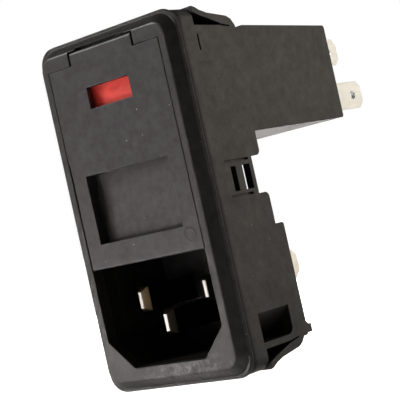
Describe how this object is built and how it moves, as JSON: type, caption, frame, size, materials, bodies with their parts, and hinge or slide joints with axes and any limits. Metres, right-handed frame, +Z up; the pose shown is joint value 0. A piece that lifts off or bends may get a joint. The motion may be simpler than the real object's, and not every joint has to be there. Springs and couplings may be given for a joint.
{
  "type": "c14 panel inlet socket",
  "caption": "Snap-in panel inlet for a detachable mains cord, with a hinged cover over a two-pole fuse carrier and a rotary voltage selector.",
  "frame": {"origin": "centre of the panel cut-out, in the plane of the panel's front face, where the back of the flange's lip sits", "axes": "+X right seen from the front, +Y into the panel, +Z up along the flange's long side; the front faces -Y"},
  "size_m": [0.0302, 0.0529, 0.0576],
  "materials": {
    "housing_plastic": "black moulded thermoplastic, fine satin texture",
    "cover_plastic": "black moulded thermoplastic, fine satin texture",
    "carrier_plastic": "black moulded thermoplastic, matt",
    "selector_plastic": "red moulded thermoplastic, satin",
    "plate_plastic": "black moulded thermoplastic, matt",
    "blade_metal": "brass, nickel plated tips, softly worn",
    "tab_metal": "tin plated brass strip",
    "spring_metal": "tin plated spring strip",
    "bridge_metal": "bare brass strip",
    "fuse_glass": "clear glass tube",
    "fuse_cap": "nickel plated brass cap",
    "fuse_wire": "tin plated wire"
  },
  "bodies": {
    "housing": {"housing": "housing_plastic", "terminal_plate": "plate_plastic", "upper_tab_right": "tab_metal", "lower_tab_right": "tab_metal", "upper_tab_left": "tab_metal", "lower_tab_left": "tab_metal", "upper_contact_left": "spring_metal", "upper_contact_right": "spring_metal", "lower_contact_left": "spring_metal", "lower_contact_right": "spring_metal", "detent_spring": "spring_metal", "left_blade": "blade_metal", "right_blade": "blade_metal", "earth_blade": "blade_metal"},
    "cover": {"cover": "cover_plastic", "fuse_carrier": "carrier_plastic", "upper_fuse_glass": "fuse_glass", "upper_fuse_cap_left": "fuse_cap", "upper_fuse_cap_right": "fuse_cap", "upper_fuse_wire": "fuse_wire", "lower_fuse_glass": "fuse_glass", "lower_fuse_cap_left": "fuse_cap", "lower_fuse_cap_right": "fuse_cap", "lower_fuse_wire": "fuse_wire"},
    "selector": {"selector_drum": "selector_plastic", "selector_bridge_left": "bridge_metal", "selector_bridge_right": "bridge_metal"}
  },
  "joints": [
    {"name": "cover_hinge", "type": "hinge", "parent": "housing", "child": "cover", "pos_m": [0, -0.00095, -0.00705], "axis": [1, 0, 0], "range_deg": [0, 110]},
    {"name": "selector_turn", "type": "hinge", "parent": "housing", "child": "selector", "pos_m": [0, 0.00445, 0.01872], "axis": [1, 0, 0], "continuous": true, "deforming": ["detent_spring"]}
  ]
}
